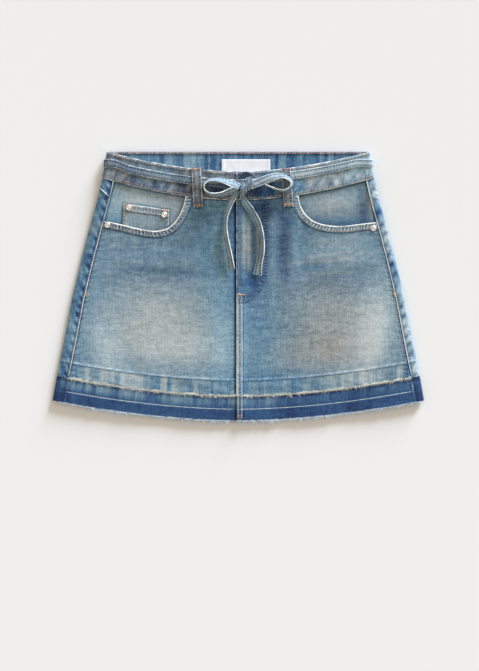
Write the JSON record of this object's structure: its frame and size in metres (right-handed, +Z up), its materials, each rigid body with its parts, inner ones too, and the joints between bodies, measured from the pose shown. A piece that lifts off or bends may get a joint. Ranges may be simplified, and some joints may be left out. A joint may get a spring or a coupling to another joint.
{
  "type": "denim skirt",
  "caption": "A-line denim mini skirt laid flat, with scoop pockets, a let-down raw hem and a tie belt in a bow.",
  "frame": {"origin": "on the surface the skirt lies on, under the middle of its outline", "axes": "+X to the right across the front as it is seen, +Y from the hem to the waist, +Z up from the surface"},
  "size_m": [0.5354, 0.388, 0.0251],
  "materials": {
    "denim_washed": "matte, faded indigo twill",
    "denim_back": "matte, indigo twill",
    "denim_facing": "matte, faded indigo twill",
    "denim_band": "matte, faded indigo twill with worn edges",
    "denim_hem": "matte, dark indigo twill with a raw edge",
    "denim_strap": "matte, pale worn indigo twill",
    "label_satin": "satin weave, bare",
    "copper": "worn copper plate",
    "dark_steel": "dark antique plate"
  },
  "bodies": {
    "root": {"front_left_panel": "denim_washed", "front_right_panel": "denim_washed", "back_panel": "denim_back", "pocket_facing_left": "denim_facing", "pocket_facing_right": "denim_facing", "coin_pocket": "denim_facing", "waistband_front_left": "denim_band", "waistband_front_right": "denim_band", "waistband_back": "denim_band", "hem_front_left": "denim_hem", "hem_front_right": "denim_hem", "hem_back": "denim_hem", "tie_belt_left": "denim_strap", "tie_belt_right": "denim_strap", "tie_belt_back": "denim_strap", "belt_loop_left": "denim_strap", "belt_loop_right": "denim_strap", "belt_loop_back": "denim_strap", "bow_loop_left": "denim_strap", "bow_loop_right": "denim_strap", "tie_tail_left": "denim_strap", "tie_tail_right": "denim_strap", "bow_knot": "denim_strap", "label": "label_satin", "rivet_coin_left": "copper", "rivet_coin_right": "copper", "rivet_pocket_left": "copper", "rivet_pocket_right": "copper", "waist_button": "dark_steel"}
  },
  "joints": []
}
